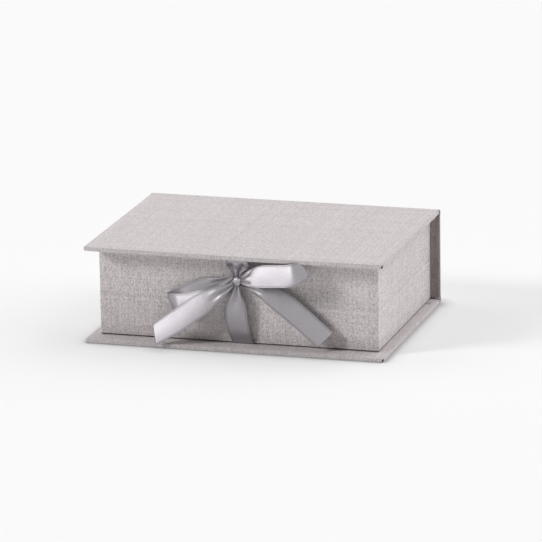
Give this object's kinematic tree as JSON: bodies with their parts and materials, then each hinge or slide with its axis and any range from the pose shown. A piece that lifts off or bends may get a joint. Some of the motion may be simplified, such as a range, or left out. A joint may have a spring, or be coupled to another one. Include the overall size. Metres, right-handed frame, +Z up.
{
  "type": "photo storage box",
  "caption": "Shallow keepsake box for prints, bound like a book in pale linen, with a hinged lid that a satin ribbon tied in a bow at the front keeps shut.",
  "frame": {"origin": "centre of the base cover's underside, on the surface that the box stands on", "axes": "+Z up from the underside to the lid; -Y towards the front, where the bow is; +Y towards the spine and hinge; +X to the right when seen from the front"},
  "size_m": [0.21, 0.1612, 0.0675],
  "materials": {
    "greyboard": "matte",
    "linen": "matte",
    "stay_paper": "matte",
    "lining_paper": "matte",
    "satin_ribbon": "satin"
  },
  "bodies": {
    "box": {"base_board": "greyboard", "spine_board": "greyboard", "tray_front_wall": "greyboard", "tray_back_wall": "greyboard", "tray_left_wall": "greyboard", "tray_right_wall": "greyboard", "tray_floor": "greyboard", "base_cloth": "linen", "base_fold_cloth": "linen", "spine_cloth": "linen", "spine_joint_strip": "linen", "tray_cloth": "linen", "tray_corner_stays": "stay_paper", "tray_wall_lining": "lining_paper", "tray_floor_lining": "lining_paper", "ribbon_lower_strand": "satin_ribbon", "bow_knot": "satin_ribbon", "bow_right_loop": "satin_ribbon", "bow_left_loop": "satin_ribbon", "bow_left_tail": "satin_ribbon", "bow_right_tail": "satin_ribbon"},
    "lid": {"lid_board": "greyboard", "lid_cloth": "linen", "lid_hinge_cloth": "linen", "lid_hinge_strip": "linen", "lid_lining": "lining_paper", "ribbon_upper_strand": "satin_ribbon"}
  },
  "joints": [
    {"name": "lid_hinge", "type": "hinge", "parent": "box", "child": "lid", "pos_m": [0, 0.076, 0.066], "axis": [-1, 0, 0], "range_deg": [0, 204.5], "deforming": ["lid_hinge_cloth", "lid_hinge_strip"]}
  ]
}
